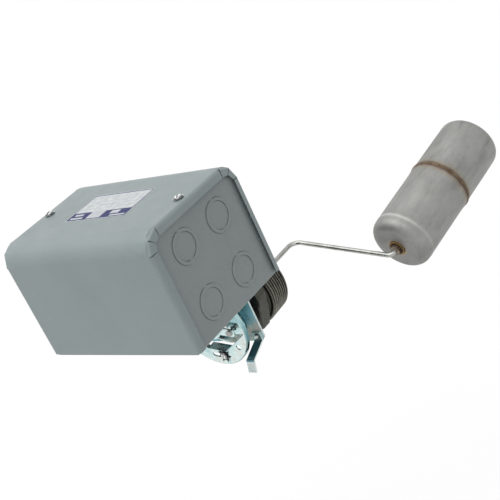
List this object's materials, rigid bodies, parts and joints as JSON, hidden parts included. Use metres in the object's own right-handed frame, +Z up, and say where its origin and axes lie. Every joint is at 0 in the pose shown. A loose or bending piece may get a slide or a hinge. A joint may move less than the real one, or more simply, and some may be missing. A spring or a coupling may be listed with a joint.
{
  "type": "float switch",
  "caption": "Float-operated pump alternator switch for a closed tank: steel switch box, threaded bushing, bent float rod and cylindrical float.",
  "frame": {"origin": "on the shaft axis, in the plane where the bushing's tank thread begins", "axes": "+X along the shaft into the tank, +Y along the box's long side away from the float arm, +Z up through the box's front face"},
  "size_m": [0.4191, 0.2684, 0.2105],
  "materials": {
    "enclosure_paint": "satin grey enamel on sheet steel",
    "zinc_sheet": "zinc plate with a blue chromate",
    "bright_zinc": "bright zinc on screws",
    "black_iron": "oiled black iron",
    "rod_steel": "drawn stainless steel",
    "float_steel": "dull drawn stainless steel",
    "heat_tint": "weld bead with a straw and brown heat tint",
    "bronze": "sintered bronze",
    "brass_nut": "turned brass",
    "packing": "moulded rubber rings",
    "guide_plastic": "natural nylon",
    "phenolic": "black phenolic moulding",
    "carrier_plastic": "red-brown phenolic moulding",
    "contact_brass": "brass with silvered tips",
    "dark_steel": "black spring steel",
    "green_screw": "green dyed zinc"
  },
  "bodies": {
    "base": {"chassis": "enclosure_paint", "ground_screw": "green_screw", "mounting_bracket": "zinc_sheet", "bracket_screws": "bright_zinc", "bracket_nuts": "bright_zinc", "tank_bushing": "black_iron", "bushing_bolts": "bright_zinc", "bearing_cup": "zinc_sheet", "inner_bearing": "bronze", "outer_bearing": "bronze", "shaft_packing": "packing", "gland_nut": "brass_nut", "index_strap": "zinc_sheet", "strap_screw": "bright_zinc", "yoke_guide": "guide_plastic", "contact_block_a": "phenolic", "contact_block_b": "phenolic", "fixed_contacts": "contact_brass", "terminal_screws": "bright_zinc", "block_screws": "bright_zinc"},
    "cover": {"cover": "enclosure_paint", "cover_screws": "bright_zinc"},
    "float_arm": {"shaft_rod": "rod_steel", "thrust_collar": "brass_nut", "float_boss": "rod_steel", "float_cup_rod_side": "float_steel", "float_cup_far_side": "float_steel", "float_weld": "heat_tint", "operating_disc": "zinc_sheet", "disc_hub": "brass_nut", "hub_screw": "bright_zinc", "drive_pin": "rod_steel", "star_washer": "dark_steel", "clamp_screw": "bright_zinc"},
    "yoke": {"operating_yoke": "zinc_sheet", "beam_pin": "rod_steel"},
    "beam": {"alternator_beam": "zinc_sheet"},
    "carrier_a": {"contact_carrier_a": "carrier_plastic", "contact_bridges_a": "contact_brass", "contact_springs_a": "rod_steel"},
    "carrier_b": {"contact_carrier_b": "carrier_plastic", "contact_bridges_b": "contact_brass", "contact_springs_b": "rod_steel"}
  },
  "joints": [
    {"name": "float_swing", "type": "hinge", "parent": "base", "child": "float_arm", "pos_m": [0, 0, 0], "axis": [-1, 0, 0], "range_deg": [-14.53, 35.47]},
    {"name": "yoke_lift", "type": "slide", "parent": "base", "child": "yoke", "axis": [0, 0, 1], "range_m": [-0.0056, 0.0136]},
    {"name": "beam_tilt", "type": "hinge", "parent": "yoke", "child": "beam", "pos_m": [-0.0984, 0, 0.0652], "axis": [1, 0, 0], "range_deg": [-4, 4]},
    {"name": "carrier_a_slide", "type": "slide", "parent": "yoke", "child": "carrier_a", "axis": [0, 0, 1], "range_m": [-0.003, 0.003]},
    {"name": "carrier_b_slide", "type": "slide", "parent": "yoke", "child": "carrier_b", "axis": [0, 0, 1], "range_m": [-0.003, 0.003]},
    {"name": "cover_lift", "type": "slide", "parent": "base", "child": "cover", "axis": [0, 0, 1], "range_m": [0, 0.13]}
  ],
  "couplings": [
    {"joint": "yoke_lift", "follows": "float_swing", "m_per_rad": 0.0216},
    {"joint": "carrier_a_slide", "follows": "beam_tilt", "m_per_rad": 0.042},
    {"joint": "carrier_b_slide", "follows": "beam_tilt", "m_per_rad": -0.042}
  ]
}
